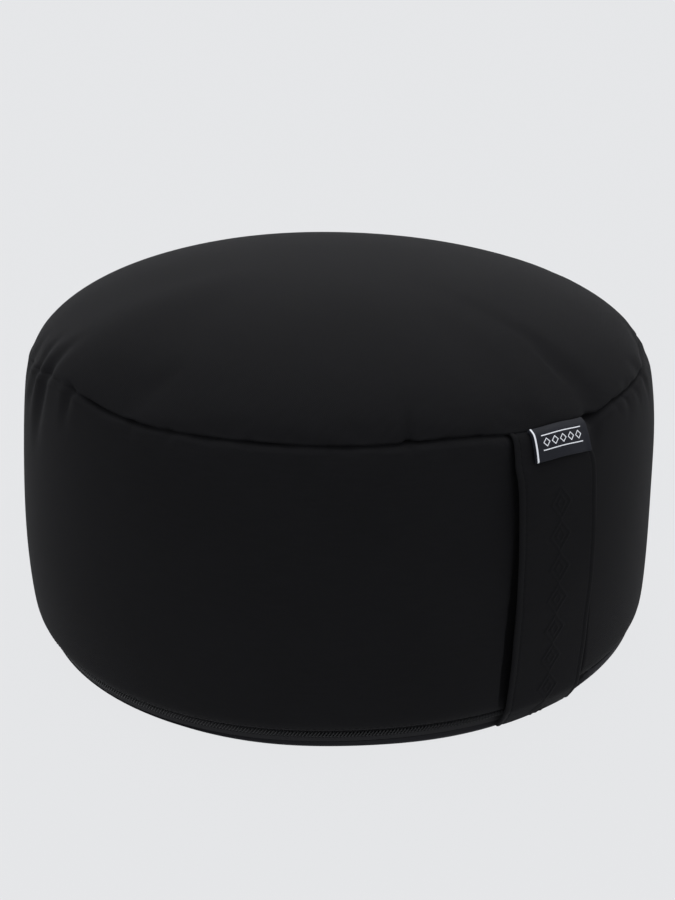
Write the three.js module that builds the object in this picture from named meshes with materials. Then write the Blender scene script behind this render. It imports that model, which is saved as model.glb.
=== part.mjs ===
import * as THREE from 'three';

// A round meditation cushion in closely woven black cotton, packed firm. A domed top panel, a
// bulging side band and a base panel are sewn to each other, a wide handle is sewn in at both
// seams, a coil zip lies under the band's lower edge and a folded label hangs at the top seam.
// Millimetres, +Z up. The origin is the middle of the flat base. Angles are in degrees about +Z
// from +X, so the handle, which faces -Y, is at -90.

// The cushion's own shape
const widestBulge = 5.45;
const topSeamRadius = 155.4;
const topSeamHeight = 151.8;
const bottomSeamRadius = 162.2;
const bottomSeamHeight = 18.5;
const crownHeight = 194;
const footRadius = 138.6;
const bulgeFullness = 0.4;
const bulgeLean = 1.118;
const crownBreadth = 2.54;
const crownFlatness = 1.53;
const crownShift = { x: -3.6, y: 2.7 };
const crownSlope = { x: -3.8, y: 1.9 };

// How finely the cushion is divided
const columns = 144;
const baseShares = [0, 0.3, 0.56, 0.78, 0.92];
const bandRows = 12;
const crownRows = 11;

// The groove that the stitching pulls in at the top seam
const seamGrooveDepth = 2.6;
const seamGrooveReach = 5;

// The top seam rises and dips where the filling pushes. Angle and width in degrees, rise in mm.
const seamWaves = [
  { angle: 180, width: 13, rise: 7 },
  { angle: -140, width: 26, rise: 1.2 },
  { angle: -105, width: 12, rise: 1.8 },
  { angle: -72, width: 20, rise: -1.8 },
  { angle: -82.5, width: 5, rise: -1.8 },
  { angle: 20, width: 30, rise: 1.6 },
  { angle: 105, width: 22, rise: -1.5 },
];

// The lip over the bottom seam sags on one side and is lifted on another, and the zip goes with it.
// The base panel's edge follows by a smaller share. Angle and width in degrees, rise in mm.
const bottomWaves = [
  { angle: -176, width: 34, rise: -2.4 },
  { angle: -118, width: 20, rise: 1.4 },
];
const baseSway = 0.4;

// Where the filling pushes the side band out, at a share of its height
const bandSwells = [
  { angle: 180, width: 35, share: 0.28, spread: 0.3, rise: 1.3 },
  { angle: -38, width: 26, share: 0.78, spread: 0.2, rise: 1.4 },
];

// Creases that run away from the top seam, up the top panel or down the side band. Angle, lean and
// width in degrees, the rest in mm. Lean is how far a crease drifts sideways by its end.
const creaseFade = 1.4;
const seamCreases = [
  { angle: -114.4, lean: 0.3, width: 2, depth: 2.8, up: 40, down: 6 },
  { angle: -160.8, lean: 1, width: 2, depth: 1.3, up: 4, down: 13 },
  { angle: -152.9, lean: -1, width: 2, depth: 1.3, up: 5, down: 12 },
  { angle: -139.4, lean: 0.5, width: 2.2, depth: 1, up: 8, down: 14 },
  { angle: -126.6, lean: 0, width: 2, depth: 0.9, up: 6, down: 8 },
  { angle: -102.8, lean: -0.5, width: 2, depth: 1, up: 7, down: 10 },
  { angle: -176.4, lean: -0.6, width: 2.1, depth: 2, up: 5, down: 21 },
  { angle: -77.2, lean: -1.5, width: 2.2, depth: 3.2, up: 9, down: 12 },
  { angle: -69.5, lean: 1, width: 2, depth: 1, up: 5, down: 10 },
  { angle: -62.5, lean: 1.5, width: 2, depth: 0.9, up: 7, down: 14 },
  { angle: -56, lean: 2, width: 2.2, depth: 1.1, up: 5, down: 22 },
  { angle: -48, lean: 0, width: 6, depth: 2, up: 26, down: 6 },
];

// Long gathers sweep over the seam at the shoulder, with a lean of their own up and down
const shoulderGathers = [
  { angle: 174, leanUp: 1.5, leanDown: -3, width: 2.5, depth: 3.4, up: 40, down: 42 },
  { angle: 168, leanUp: -1, leanDown: -3, width: 2.3, depth: 2.4, up: 36, down: 24 },
  { angle: 160.5, leanUp: -2, leanDown: -2, width: 2.6, depth: 1.4, up: 30, down: 18 },
];

// Lighter creases go on round the far side at uneven steps
const farCreases = {
  first: -20,
  last: 140,
  step: 15.5,
  wander: 4.2,
  width: 2.5,
  depth: 1.5,
  up: 12,
  down: 26,
};

// The base panel's edge, the channel above it and the band's turned lip, as steps in from the
// bottom seam's radius and down from its height: where the seam is plain and where it holds the zip.
const bottomSeamSteps = [
  { plainIn: 1.2, plainDown: 5.7, zipIn: 3.6, zipDown: 10.1 },
  { plainIn: 0.9, plainDown: 2.4, zipIn: 5.4, zipDown: 8.9 },
  { plainIn: 3.4, plainDown: -0.6, zipIn: 4.5, zipDown: -4.5 },
  { plainIn: 1.2, plainDown: -0.4, zipIn: 0.7, zipDown: -0.9 },
  { plainIn: 0, plainDown: 0, zipIn: 0, zipDown: 0 },
];
const plainEdgeTurn = 72;
const zipEdgeTurn = 57;

// The zip runs from behind the handle's edge round the left half of the cushion
const zipStart = -82;
const zipEnd = -286;
const channelSpare = 2.5;
const channelFade = 3.5;
const zipGap = 0.35;
const tapeWidth = 11.2;
const tapeThickness = 1;
const tapeFoot = 0.7;
const coilWidth = 4.6;
const coilHeight = 1.7;
const coilFoot = 4.2;
const coilSides = 5;

// The handle: a flat cotton strap whose inner face follows this run from seam to seam
const handleAngle = -90;
const handleWidth = 46;
const handleThickness = 1.5;
const handleRun = [
  { radius: 154.4, height: 150.9 },
  { radius: 156.9, height: 149.7 },
  { radius: 159.6, height: 145.9 },
  { radius: 162.1, height: 140.9 },
  { radius: 165.2, height: 131.2 },
  { radius: 167.1, height: 110 },
  { radius: 168, height: 85 },
  { radius: 167.2, height: 58 },
  { radius: 166.4, height: 40 },
  { radius: 165.2, height: 22.5 },
  { radius: 163, height: 16.2 },
  { radius: 159, height: 9.6 },
];
const handleSteps = 34;
const handleSpans = 8;
const handleFlatness = 0.4;
const handleTaper = 0.15;

// The band lies flat behind the handle, which leaves room for fingers. Depth is at its middle.
const handleBedHalf = 8.5;
const handleBedFade = 2.8;
const handleBed = [
  { height: 19, depth: 0.6 },
  { height: 26, depth: 4.6 },
  { height: 38, depth: 5.8 },
  { height: 60, depth: 5.6 },
  { height: 86, depth: 5 },
  { height: 112, depth: 2.6 },
  { height: 140, depth: 2.6 },
  { height: 152, depth: 2.6 },
];

// The label: a satin ribbon folded at its lower edge, both ends caught in the top seam. Its inner
// layer's face follows this run, and it leans sideways on its way down.
const labelAngle = -88;
const labelWidth = 32.8;
const labelLayer = 0.5;
const labelFold = 0.3;
const labelLean = -3;
const labelRun = [
  { radius: 155.6, height: 152.6 },
  { radius: 158.5, height: 150.9 },
  { radius: 161.4, height: 147 },
  { radius: 163.6, height: 142.6 },
  { radius: 164.9, height: 139.8 },
];
const labelSteps = 8;
const labelFoldSides = 4;
const labelSpans = 6;

function smoothStep(low, high, value) {
  const t = THREE.MathUtils.clamp((value - low) / (high - low), 0, 1);
  return t * t * (3 - 2 * t);
}

function turnBetween(from, to) {
  return THREE.MathUtils.euclideanModulo(to - from + 180, 360) - 180;
}

function swell(angle, centre, width) {
  const across = turnBetween(centre, angle) / width;
  return Math.exp(-across * across);
}

// A narrow valley with a low ridge on each side
function crease(across) {
  const square = across * across;
  return (1 - square) * Math.exp(-square);
}

function waveAt(waves, angle) {
  return waves.reduce((sum, wave) => sum + wave.rise * swell(angle, wave.angle, wave.width), 0);
}

function seamHeightAt(angle) {
  return topSeamHeight + waveAt(seamWaves, angle);
}

function lipHeightAt(angle) {
  return bottomSeamHeight + waveAt(bottomWaves, angle);
}

function allCreases() {
  const far = [];
  for (let angle = farCreases.first; angle <= farCreases.last; angle += farCreases.step) {
    const uneven = Math.sin(angle * 0.37);
    far.push({
      angle: angle + farCreases.wander * uneven,
      lean: 2 * uneven,
      width: farCreases.width,
      depth: farCreases.depth * (0.75 + 0.45 * uneven),
      up: farCreases.up * (1 - 0.5 * uneven),
      down: farCreases.down * (1 + 0.4 * uneven),
    });
  }
  return [...seamCreases, ...far];
}

const creases = allCreases();

// How far the creases draw the cloth in, at a distance above (+) or below (-) the top seam
function creaseDepth(angle, above) {
  let depth = 0;
  for (const row of creases) {
    const along = Math.abs(above) / (above > 0 ? row.up : row.down);
    if (along < 1) {
      const across = turnBetween(row.angle + row.lean * along, angle) / row.width;
      depth += row.depth * crease(across) * (1 - along) ** creaseFade;
    }
  }
  for (const row of shoulderGathers) {
    const along = Math.abs(above) / (above > 0 ? row.up : row.down);
    if (along < 1) {
      const lean = (above > 0 ? row.leanUp : row.leanDown) * along;
      const across = turnBetween(row.angle + lean, angle) / row.width;
      depth += row.depth * crease(across) * (1 - along * along) ** 2;
    }
  }
  return depth;
}

// The stitched groove, deepest on the seam itself
function grooveDepth(above) {
  const away = Math.min(Math.abs(above) / seamGrooveReach, 1);
  return seamGrooveDepth * (1 - away) * (1 - away);
}

function handleBedDepth(angle, height) {
  const aside = Math.abs(turnBetween(handleAngle, angle));
  if (aside > handleBedHalf + handleBedFade) {
    return 0;
  }
  const inside = THREE.MathUtils.clamp(height, handleBed[0].height, handleBed.at(-1).height);
  const row = Math.max(handleBed.findIndex((spot) => spot.height >= inside), 1);
  const [low, high] = [handleBed[row - 1], handleBed[row]];
  const middle = THREE.MathUtils.mapLinear(inside, low.height, high.height, low.depth, high.depth);
  const flat = middle - topSeamRadius * (1 / Math.cos(THREE.MathUtils.degToRad(aside)) - 1);
  return Math.max(flat, 0) * (1 - smoothStep(handleBedHalf, handleBedHalf + handleBedFade, aside));
}

// Slow swells that a loose filling leaves in the side band
function lump(angle, share) {
  const turn = THREE.MathUtils.degToRad(angle);
  const waves = Math.sin(3 * turn + 0.7) + 0.6 * Math.sin(5 * turn + 2.1 + 2 * share);
  let pushed = 0;
  for (const row of bandSwells) {
    const away = (share - row.share) / row.spread;
    pushed += row.rise * swell(angle, row.angle, row.width) * Math.exp(-away * away);
  }
  return (0.45 * waves + pushed) * Math.sin(Math.PI * share) ** 0.5;
}

function bandRadius(share) {
  const straight = THREE.MathUtils.lerp(bottomSeamRadius, topSeamRadius, share);
  const bulge = Math.sin(Math.PI * share ** bulgeLean);
  return straight + widestBulge * Math.max(bulge, 0) ** bulgeFullness;
}

function zipShare(angle) {
  const middle = (zipStart + zipEnd) / 2;
  const half = Math.abs(zipStart - zipEnd) / 2 + channelSpare;
  return 1 - smoothStep(half, half + channelFade, Math.abs(turnBetween(middle, angle)));
}

function around(radius, angle, height) {
  const turn = THREE.MathUtils.degToRad(angle);
  return new THREE.Vector3(radius * Math.cos(turn), radius * Math.sin(turn), height);
}

// The base panel: flat on the floor, then rounding up to its sewn edge
function basePoint(share, angle) {
  const edgeTurn = THREE.MathUtils.lerp(plainEdgeTurn, zipEdgeTurn, zipShare(angle));
  const turn = THREE.MathUtils.degToRad(share * edgeTurn);
  const radius = footRadius + (bottomSeamRadius - footRadius) * Math.sin(turn);
  const edgeHeight = bottomSeamHeight + baseSway * waveAt(bottomWaves, angle);
  return around(radius, angle, edgeHeight * (1 - Math.cos(turn)));
}

function bottomSeamPoint(step, angle) {
  const zip = zipShare(angle);
  const inward = THREE.MathUtils.lerp(step.plainIn, step.zipIn, zip);
  const down = THREE.MathUtils.lerp(step.plainDown, step.zipDown, zip);
  const sway = step === bottomSeamSteps[0] ? baseSway : 1;
  const height = bottomSeamHeight - down + sway * waveAt(bottomWaves, angle);
  return around(bottomSeamRadius - inward, angle, height);
}

function bandPoint(row, angle) {
  const share = 0.5 - 0.5 * Math.cos((Math.PI * row) / bandRows);
  const seamHeight = seamHeightAt(angle);
  const height = THREE.MathUtils.lerp(lipHeightAt(angle), seamHeight, share);
  const above = height - seamHeight;
  const drawnIn = grooveDepth(above) + creaseDepth(angle, above) + handleBedDepth(angle, height);
  return around(bandRadius(share) + lump(angle, share) - drawnIn, angle, height);
}

// The top panel rises steeply from the seam and flattens towards its middle
function crownPoint(row, angle) {
  const turn = (Math.PI / 2) * (row / crownRows) ** 1.15;
  const reach = Math.cos(turn) ** (2 / crownBreadth);
  const rise = Math.sin(turn) ** (2 / crownFlatness);
  const seamHeight = seamHeightAt(angle);
  const slope = around(reach, angle, 0).dot(new THREE.Vector3(crownSlope.x, crownSlope.y, 0));
  const height = THREE.MathUtils.lerp(seamHeight, crownHeight + slope, rise);
  const above = topSeamRadius * (1 - reach) + height - seamHeight;
  const drawnIn = grooveDepth(above) + creaseDepth(angle, above);
  const point = around(topSeamRadius * reach - drawnIn, angle, height);
  point.x += crownShift.x * (1 - reach);
  point.y += crownShift.y * (1 - reach);
  return point;
}

function cushionRows() {
  const rows = baseShares.map((share) => (angle) => basePoint(share, angle));
  bottomSeamSteps.forEach((step) => rows.push((angle) => bottomSeamPoint(step, angle)));
  for (let row = 1; row < bandRows; row += 1) {
    rows.push((angle) => bandPoint(row, angle));
  }
  for (let row = 0; row < crownRows; row += 1) {
    rows.push((angle) => crownPoint(row, angle));
  }
  return rows;
}

// A closed skin: rings of points stacked upwards, with one point at each end
function stackedSkin(rows, lowest, highest) {
  const points = [lowest];
  rows.forEach((rowPoint) => {
    for (let column = 0; column < columns; column += 1) {
      points.push(rowPoint((column * 360) / columns));
    }
  });
  points.push(highest);

  const faces = [];
  const last = points.length - 1;
  const topRing = 1 + (rows.length - 1) * columns;
  for (let column = 0; column < columns; column += 1) {
    const next = (column + 1) % columns;
    faces.push(0, 1 + next, 1 + column);
    faces.push(last, topRing + column, topRing + next);
    for (let row = 0; row < rows.length - 1; row += 1) {
      const here = 1 + row * columns;
      const above = here + columns;
      faces.push(here + column, here + next, above + next);
      faces.push(here + column, above + next, above + column);
    }
  }
  const geometry = new THREE.BufferGeometry().setFromPoints(points);
  geometry.setIndex(faces);
  geometry.computeVertexNormals();
  return geometry;
}

// A piece with one section of [radius, height] corners all along an arc round the cushion. It
// runs from its start to a lower angle, and settle moves each point of it.
function arcPiece(section, start, end, steps, settle) {
  const shape = new THREE.Shape(section.map(([radius, height]) => new THREE.Vector2(radius, height)));
  const geometry = new THREE.ExtrudeGeometry(shape, { depth: 1, steps, bevelEnabled: false });
  const position = geometry.attributes.position;
  for (let i = 0; i < position.count; i += 1) {
    const angle = THREE.MathUtils.lerp(start, end, position.getZ(i));
    const [radius, height, turn] = settle(position.getX(i), position.getY(i), angle);
    const point = around(radius, turn, height);
    position.setXYZ(i, point.x, point.y, point.z);
  }
  geometry.deleteAttribute('uv');
  geometry.computeVertexNormals();
  return geometry;
}

// A point in the zip's channel: so far up its floor, and so far out from it
function channelPoint(along, out) {
  const [, foot, head] = bottomSeamSteps;
  const low = new THREE.Vector2(bottomSeamRadius - foot.zipIn, bottomSeamHeight - foot.zipDown);
  const high = new THREE.Vector2(bottomSeamRadius - head.zipIn, bottomSeamHeight - head.zipDown);
  const up = high.sub(low).normalize();
  return [low.x + up.x * along + up.y * out, low.y + up.y * along - up.x * out];
}

function tapeSection() {
  const outer = zipGap + tapeThickness;
  const head = tapeFoot + tapeWidth;
  return [
    channelPoint(tapeFoot, zipGap),
    channelPoint(tapeFoot, outer),
    channelPoint(head, outer),
    channelPoint(head, zipGap),
  ];
}

// The zip rises and falls with the lip
function settleZip(radius, height, angle) {
  return [radius, height + waveAt(bottomWaves, angle), angle];
}

// The closed teeth of a coil zip, as one half-round bead on the tape
function coilSection() {
  const floor = 2 * zipGap + tapeThickness;
  const section = [];
  for (let side = 0; side <= coilSides; side += 1) {
    const turn = (Math.PI * side) / coilSides;
    const along = coilFoot + (coilWidth / 2) * (1 - Math.cos(turn));
    section.push(channelPoint(along, floor + coilHeight * Math.sin(turn)));
  }
  return section;
}

// Points along a smooth run of { radius, height }, each moved so far out from it
function runOffset(run, steps, out) {
  const curve = new THREE.SplineCurve(run.map(({ radius, height }) => new THREE.Vector2(radius, height)));
  const points = [];
  for (let step = 0; step <= steps; step += 1) {
    const point = curve.getPointAt(step / steps);
    const along = curve.getTangentAt(step / steps);
    points.push([point.x - along.y * out, point.y + along.x * out]);
  }
  return points;
}

function handleSection() {
  const inner = runOffset(handleRun, handleSteps, 0);
  const outer = runOffset(handleRun, handleSteps, handleThickness);
  return [...inner, ...outer.reverse()];
}

// The handle is drawn in a little at the top seam and follows it, and is nearly flat across where
// it stands off
function settleHandle(radius, height, angle) {
  const aside = turnBetween(handleAngle, angle);
  const turn = THREE.MathUtils.degToRad(aside);
  const free = smoothStep(bottomSeamHeight, 50, height) * (1 - smoothStep(110, topSeamHeight, height));
  const flattened = radius * (1 + handleFlatness * free * (1 / Math.cos(turn) - 1));
  const sewn = smoothStep(100, topSeamHeight, height);
  const rise = sewn * (seamHeightAt(angle) - seamHeightAt(handleAngle));
  const narrowed = 1 - handleTaper * smoothStep(136, topSeamHeight, height);
  return [flattened, height + rise, handleAngle + (aside * narrowed * bottomSeamRadius) / radius];
}

// Half a turn about the lower end of a run, from its inner face to its outer one
function foldRound(run, middle, size, sides) {
  const curve = new THREE.SplineCurve(run.map(({ radius, height }) => new THREE.Vector2(radius, height)));
  const end = curve.getPointAt(1);
  const along = curve.getTangentAt(1);
  const points = [];
  for (let side = 1; side < sides; side += 1) {
    const turn = (Math.PI * side) / sides;
    const out = middle - size * Math.cos(turn);
    const past = size * Math.sin(turn);
    points.push([end.x - along.y * out + along.x * past, end.y + along.x * out + along.y * past]);
  }
  return points;
}

// A ribbon folded back on itself: one layer down to the fold and the other up again
function labelSection() {
  const full = 2 * labelLayer + labelFold;
  const face = (out) => runOffset(labelRun, labelSteps, out);
  const fold = (size) => foldRound(labelRun, full / 2, size, labelFoldSides);
  return [
    ...face(0),
    ...fold(full / 2),
    ...face(full).reverse(),
    ...face(labelLayer + labelFold),
    ...fold(labelFold / 2).reverse(),
    ...face(labelLayer).reverse(),
  ];
}

function settleLabel(radius, height, angle) {
  const rise = seamHeightAt(angle) - seamHeightAt(handleAngle);
  const lean = (labelLean * (labelRun[0].height - height)) / (labelRun[0].height - labelRun.at(-1).height);
  const aside = (turnBetween(labelAngle, angle) * topSeamRadius) / radius;
  return [radius, height + rise, labelAngle + aside + THREE.MathUtils.radToDeg(lean / radius)];
}

function arcAngle(length, radius) {
  return THREE.MathUtils.radToDeg(length / radius);
}

function material(color, roughness) {
  return new THREE.MeshStandardMaterial({ color, roughness, metalness: 0 });
}

function addPiece(group, name, geometry, finish) {
  const mesh = new THREE.Mesh(geometry, finish);
  mesh.name = name;
  group.add(mesh);
}

function makeCushion() {
  const lowest = new THREE.Vector3(0, 0, 0);
  const highest = new THREE.Vector3(crownShift.x, crownShift.y, crownHeight);
  return stackedSkin(cushionRows(), lowest, highest);
}

function makeHandle() {
  const half = arcAngle(handleWidth / 2, bottomSeamRadius);
  const start = handleAngle + half;
  return arcPiece(handleSection(), start, handleAngle - half, handleSpans, settleHandle);
}

function makeLabel() {
  const half = arcAngle(labelWidth / 2, topSeamRadius);
  return arcPiece(labelSection(), labelAngle + half, labelAngle - half, labelSpans, settleLabel);
}

function zipPiece(section) {
  return arcPiece(section, zipStart, zipEnd, Math.round((zipStart - zipEnd) / (360 / columns)), settleZip);
}

const wovenCotton = material(0x1c1c1e, 0.92);
const strapCotton = material(0x1f1f22, 0.88);
const tapeCloth = material(0x232427, 0.8);
const coilNylon = material(0x2c2d30, 0.5);
const labelSatin = material(0x1b1d2b, 0.45);

const meditationCushion = new THREE.Group();
addPiece(meditationCushion, 'cushion', makeCushion(), wovenCotton);
addPiece(meditationCushion, 'zip_tape', zipPiece(tapeSection()), tapeCloth);
addPiece(meditationCushion, 'zip_coil', zipPiece(coilSection()), coilNylon);
addPiece(meditationCushion, 'handle_strap', makeHandle(), strapCotton);
addPiece(meditationCushion, 'woven_label', makeLabel(), labelSatin);

export default meditationCushion;
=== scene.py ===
import math

import bpy
import numpy as np
from mathutils.bvhtree import BVHTree
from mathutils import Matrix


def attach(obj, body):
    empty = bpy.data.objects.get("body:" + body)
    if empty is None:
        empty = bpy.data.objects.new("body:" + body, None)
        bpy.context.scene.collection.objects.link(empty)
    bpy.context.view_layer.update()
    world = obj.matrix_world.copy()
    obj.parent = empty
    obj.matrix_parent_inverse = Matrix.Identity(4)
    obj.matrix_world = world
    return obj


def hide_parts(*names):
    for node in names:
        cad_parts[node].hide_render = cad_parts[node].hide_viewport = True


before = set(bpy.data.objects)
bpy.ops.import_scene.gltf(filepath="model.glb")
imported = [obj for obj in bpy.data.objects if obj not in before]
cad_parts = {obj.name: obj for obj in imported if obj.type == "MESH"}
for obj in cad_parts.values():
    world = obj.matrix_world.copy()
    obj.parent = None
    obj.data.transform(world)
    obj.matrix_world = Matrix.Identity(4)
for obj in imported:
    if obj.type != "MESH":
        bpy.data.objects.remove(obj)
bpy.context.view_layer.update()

# A round meditation cushion in black cotton. Metres, +Z up, the handle facing -Y.
# Angles are in degrees about +Z from +X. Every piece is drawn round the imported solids.

print("stage: frame loaded")

# Small helpers


def smoothStep(low, high, value):
    t = np.clip((value - low) / (high - low), 0, 1)
    return t * t * (3 - 2 * t)


def turnBetween(start, end):
    return (end - start + 180) % 360 - 180


def swell(angle, centre, width):
    return np.exp(-(turnBetween(centre, angle) / width) ** 2)


def around(radius, angle, height):
    turn = np.radians(angle)
    return np.stack([radius * np.cos(turn), radius * np.sin(turn), height + 0 * turn], -1)


def deselectAll():
    if bpy.context.object and bpy.context.object.mode != "OBJECT":
        bpy.ops.object.mode_set(mode="OBJECT")
    bpy.ops.object.select_all(action="DESELECT")


def makeActive(piece):
    deselectAll()
    piece.select_set(True)
    bpy.context.view_layer.objects.active = piece


def namedPiece(name):
    piece = bpy.context.object
    piece.name = name
    piece.data.name = name
    return piece


def applyPlace(piece):
    makeActive(piece)
    bpy.ops.object.transform_apply(location=True, rotation=True, scale=True)


def applyModifiers(piece):
    makeActive(piece)
    for modifier in list(piece.modifiers):
        bpy.ops.object.modifier_apply(modifier=modifier.name)


def readPoints(piece):
    points = np.empty(len(piece.data.vertices) * 3)
    piece.data.vertices.foreach_get("co", points)
    return points.reshape(-1, 3)


def writePoints(piece, points):
    piece.data.vertices.foreach_set("co", np.ascontiguousarray(points, float).ravel())
    piece.data.update()


def smoothShade(piece, angle=None):
    makeActive(piece)
    if angle is None:
        bpy.ops.object.shade_smooth()
    else:
        bpy.ops.object.shade_smooth_by_angle(angle=math.radians(angle))


def pointOut(piece):
    makeActive(piece)
    bpy.ops.object.mode_set(mode="EDIT")
    bpy.ops.mesh.select_all(action="SELECT")
    bpy.ops.mesh.normals_make_consistent(inside=False)
    bpy.ops.object.mode_set(mode="OBJECT")


# Camera and light

cameraView = {
    "angle": -125.3,        # the way that the camera stands from the cushion's middle
    "distance": 0.6741,     # along the floor
    "height": 0.3624,
    "pitch": 22.09,         # downwards
    "aside": 0.05,          # a hair to the left, so that the cushion sits right of the middle
    "lens": 54.14,
}


def makeCamera():
    spot = around(cameraView["distance"], cameraView["angle"], cameraView["height"])
    turn = (math.radians(90 - cameraView["pitch"]), 0, math.radians(cameraView["angle"] + 90 + cameraView["aside"]))
    bpy.ops.object.camera_add(location=tuple(spot), rotation=turn)
    camera = bpy.context.object
    camera.name = "photoCamera"
    camera.data.lens = cameraView["lens"]
    camera.data.sensor_width = 36
    camera.data.clip_start = 0.02
    camera.data.clip_end = 60
    bpy.context.scene.camera = camera


studio = {
    "skyColor": "#fbfcff",
    "skyStrength": 0.98,
    "floorColor": "#e5e6e8",
    "floorGlow": 0.985,          # share of the floor's light that is its own, so that shadows stay faint
    "floorHalf": 14,
    "keyStrength": 1.5,
    "keyTurn": (25, 0, 144.7),  # high and from behind the cushion
    "keySoftness": 60,
}


def linearColor(text):
    parts = [int(text[i:i + 2], 16) / 255 for i in (1, 3, 5)]
    parts = [p / 12.92 if p <= 0.04045 else ((p + 0.055) / 1.055) ** 2.4 for p in parts]
    return (*parts, 1)


def addNode(tree, kind, settings=None, inputs=None):
    node = tree.nodes.new(kind)
    for name, value in (settings or {}).items():
        setattr(node, name, value)
    for name, value in (inputs or {}).items():
        if isinstance(value, bpy.types.NodeSocket):
            tree.links.new(value, node.inputs[name])
        else:
            node.inputs[name].default_value = value
    return node


def newMaterial(name):
    material = bpy.data.materials.new(name)
    material.use_nodes = True
    material.node_tree.nodes.clear()
    return material, material.node_tree


def finishMaterial(tree, shader):
    addNode(tree, "ShaderNodeOutputMaterial", inputs={"Surface": shader.outputs[0]})


def makeStudio():
    scene = bpy.context.scene
    scene.view_settings.view_transform = "Standard"
    world = bpy.data.worlds.new("paleStudio")
    world.use_nodes = True
    sky = world.node_tree.nodes["Background"]
    sky.inputs["Color"].default_value = linearColor(studio["skyColor"])
    sky.inputs["Strength"].default_value = studio["skyStrength"]
    scene.world = world

    turn = tuple(math.radians(part) for part in studio["keyTurn"])
    bpy.ops.object.light_add(type="SUN", location=(0, 0, 2), rotation=turn)
    key = bpy.context.object
    key.name = "softKey"
    key.data.energy = studio["keyStrength"]
    key.data.angle = math.radians(studio["keySoftness"])

    deselectAll()
    bpy.ops.mesh.primitive_plane_add(size=2 * studio["floorHalf"], location=(0, 0, -0.0004))
    floor = namedPiece("studioFloor")
    applyPlace(floor)
    material, tree = newMaterial("paleFloorPaint")
    colour = linearColor(studio["floorColor"])
    painted = tuple(part * (1 - studio["floorGlow"]) for part in colour[:3])
    shader = addNode(tree, "ShaderNodeBsdfPrincipled", inputs={
        "Base Color": (*painted, 1), "Roughness": 0.9, "Specular IOR Level": 0,
        "Emission Color": colour, "Emission Strength": studio["floorGlow"]})
    finishMaterial(tree, shader)
    floor.data.materials.append(material)


makeCamera()
makeStudio()
print("stage: camera and studio made")

# Materials. Patterns follow each piece's own UV map in metres: across in x, along in y.


def mathNode(tree, operation, *values, clamp=False):
    return addNode(tree, "ShaderNodeMath", {"operation": operation, "use_clamp": clamp}, dict(enumerate(values))).outputs[0]


def mixNumber(tree, share, first, second):
    return addNode(tree, "ShaderNodeMix", {"data_type": "FLOAT"}, {0: share, 2: first, 3: second}).outputs[0]


def mixColor(tree, share, first, second):
    return addNode(tree, "ShaderNodeMix", {"data_type": "RGBA"}, {0: share, 6: first, 7: second}).outputs[2]


def clothPlace(tree, mapName="cloth"):
    place = addNode(tree, "ShaderNodeUVMap", {"uv_map": mapName}).outputs[0]
    parts = addNode(tree, "ShaderNodeSeparateXYZ", inputs={0: place})
    return place, parts.outputs[0], parts.outputs[1]


def plainWeave(tree, place, spacing):
    # plain weave: warp and weft threads pass over each other in a checker
    scaled = addNode(tree, "ShaderNodeMapping", inputs={"Vector": place, "Scale": (1 / spacing, 1 / spacing, 1)})
    parts = addNode(tree, "ShaderNodeSeparateXYZ", inputs={0: scaled.outputs[0]})
    rounds = []
    for axis in (0, 1):
        wave = mathNode(tree, "SINE", mathNode(tree, "MULTIPLY", parts.outputs[axis], math.pi))
        rounds.append(mathNode(tree, "ABSOLUTE", wave))
    over = addNode(tree, "ShaderNodeTexChecker", inputs={"Vector": scaled.outputs[0], "Scale": 1})
    return mixNumber(tree, over.outputs["Fac"], rounds[0], rounds[1])


def noiseAt(tree, place, sizes, detail=2):
    scaled = addNode(tree, "ShaderNodeMapping", inputs={"Vector": place, "Scale": tuple(1 / size for size in sizes)})
    return addNode(tree, "ShaderNodeTexNoise", inputs={
        "Vector": scaled.outputs[0], "Scale": 1, "Detail": detail}).outputs["Fac"]


cottonFinish = {
    "dark": "#0f0f10",
    "light": "#161618",
    "threadSpacing": 0.00052,   # a close cotton drill, about 19 threads to the centimetre
    "slubLength": 0.011,
    "weaveRelief": 0.00007,
    "roughness": 0.8,
    "specular": 0.05,
    "sheen": 0.02,
    "sheenRoughness": 0.3,
}

strapFinish = {
    **cottonFinish,
    "dark": "#0d0d0e",
    "light": "#151517",
    "threadSpacing": 0.00056,   # the same drill, pressed flat
}


# the base panel's cloth: its dark and light colours are painted lighter than the band's, as painted light for the
# floor's light and sheen on the base rim
basePaintedLightFinish = {
    **cottonFinish,
    "dark": "#1d1d1f",
    "light": "#29292c",
    "threadSpacing": 0.0007,    # a coarser canvas, its colours painted lighter than the band's as painted light from the floor and grazing sheen on the base rim
    "sheen": 0.05,
}


def makeCotton(name, finish):
    # dyed cotton drill: no gloss, a soft light rim where the fibres stand up at the edge
    material, tree = newMaterial(name)
    place, across, along = clothPlace(tree)
    height = plainWeave(tree, place, finish["threadSpacing"])
    slub = noiseAt(tree, place, (finish["slubLength"], finish["slubLength"] / 9, 1), 3)
    cloud = addNode(tree, "ShaderNodeTexCoord")
    patch = noiseAt(tree, cloud.outputs["Object"], (0.045, 0.045, 0.045))
    colour = mixColor(tree, mixNumber(tree, 0.4, slub, patch), linearColor(finish["dark"]), linearColor(finish["light"]))
    relief = mathNode(tree, "MULTIPLY_ADD", slub, 0.6, height)
    bump = addNode(tree, "ShaderNodeBump", inputs={
        "Height": relief, "Distance": finish["weaveRelief"], "Strength": 0.7})
    shader = addNode(tree, "ShaderNodeBsdfPrincipled", inputs={
        "Base Color": colour, "Roughness": finish["roughness"], "Specular IOR Level": finish["specular"],
        "Sheen Weight": finish["sheen"], "Sheen Roughness": finish["sheenRoughness"],
        "Sheen Tint": linearColor("#f0f2f6"), "Normal": bump.outputs[0]})
    finishMaterial(tree, shader)
    return material


threadFinish = {
    "color": "#101012",
    "roughness": 0.7,
    "plyPitch": 0.0006,
}


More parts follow.
